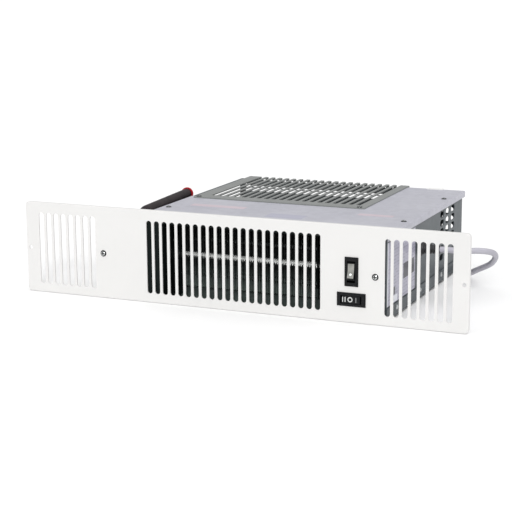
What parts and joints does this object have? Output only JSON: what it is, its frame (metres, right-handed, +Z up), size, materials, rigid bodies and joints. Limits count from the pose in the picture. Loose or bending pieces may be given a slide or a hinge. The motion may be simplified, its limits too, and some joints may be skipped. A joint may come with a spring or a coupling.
{
  "type": "plinth fan convector heater",
  "caption": "Low plinth fan convector: slotted front grille with rocker switches, sheet-metal case with top inlet guard, finned coil, cross-flow fan, two pipe tails and a supply lead.",
  "frame": {"origin": "middle of the footprint without the free cable, at the level the feet and the grille's lower edge stand on", "axes": "+X along the grille, +Y from the grille to the back, +Z up"},
  "size_m": [0.5, 0.3954, 0.1],
  "materials": {
    "grille_white": "satin powder coat",
    "screw_steel": "zinc plated",
    "duct_black": "matt black",
    "galvanised": "galvanised sheet",
    "slate_sheet": "dull dark galvanised sheet",
    "guard_grey": "satin grey",
    "rubber_black": "matt",
    "label_pale": "printed film",
    "label_silver": "silver film",
    "plastic_white": "moulded nylon",
    "fin_aluminium": "bright thin sheet",
    "copper": "drawn copper tube",
    "brass_fitting": "turned brass",
    "hose_black": "smooth rubber hose",
    "plug_red": "soft plastic plug",
    "plug_blue": "soft plastic plug",
    "fan_aluminium": "mill finish",
    "shaft_steel": "ground steel",
    "lamination": "stacked laminations",
    "winding": "taped winding",
    "switch_black": "moulded nylon",
    "rocker_smoke": "smoked translucent",
    "lens_clear": "clear pilot lens",
    "wire_insulation": "coloured cores",
    "cable_grey": "smooth sheath"
  },
  "bodies": {
    "heater": {"front_grille": "grille_white", "grille_screws": "screw_steel", "front_frame": "duct_black", "base_tray": "slate_sheet", "left_panel": "galvanised", "right_panel": "slate_sheet", "rear_panel": "galvanised", "top_cover": "galvanised", "cover_screws": "screw_steel", "inlet_guard": "guard_grey", "guard_screws": "screw_steel", "feet": "rubber_black", "case_rivets": "screw_steel", "cover_labels": "label_pale", "data_label": "label_silver", "edge_clip": "plastic_white", "left_partition": "duct_black", "right_partition": "duct_black", "duct_floor": "duct_black", "fan_scroll": "duct_black", "fan_tongue": "duct_black", "exchanger_fins": "fin_aluminium", "exchanger_end_plates": "galvanised", "exchanger_hairpins": "copper", "return_bends": "copper", "pipe_stubs": "copper", "pipe_elbows": "brass_fitting", "flow_hose": "hose_black", "return_hose": "hose_black", "flow_plug": "plug_red", "return_plug": "plug_blue", "bearing_rubber": "rubber_black", "bearing_bush": "brass_fitting", "motor_core": "lamination", "motor_coil": "winding", "motor_bridges": "galvanised", "motor_screws": "screw_steel", "motor_sleeves": "shaft_steel", "season_switch_housing": "switch_black", "speed_switch_housing": "switch_black", "switch_terminals": "brass_fitting", "terminal_block": "plastic_white", "terminal_screws": "brass_fitting", "cable_clamp": "plastic_white", "earth_stud": "brass_fitting", "internal_wires": "wire_insulation", "strain_relief": "rubber_black", "cable_inner": "cable_grey", "mains_cable": "cable_grey", "cable_coil": "cable_grey", "cable_tail": "cable_grey", "core_ends": "wire_insulation"},
    "fan": {"impeller_blades": "fan_aluminium", "impeller_discs": "fan_aluminium", "fan_shaft": "shaft_steel", "motor_rotor": "lamination"},
    "season_switch": {"season_rocker": "rocker_smoke", "rocker_lens": "lens_clear"},
    "speed_switch": {"speed_rocker": "switch_black"}
  },
  "joints": [
    {"name": "fan_spin", "type": "hinge", "parent": "heater", "child": "fan", "pos_m": [0.008, -0.0427, 0.048], "axis": [1, 0, 0], "continuous": true},
    {"name": "season_switch_tilt", "type": "hinge", "parent": "heater", "child": "season_switch", "pos_m": [0.129, -0.1432, 0.0526], "axis": [1, 0, 0], "range_deg": [0, 22]},
    {"name": "speed_switch_tilt", "type": "hinge", "parent": "heater", "child": "speed_switch", "pos_m": [0.129, -0.1432, 0.024], "axis": [0, 0, 1], "range_deg": [-10, 10]}
  ]
}
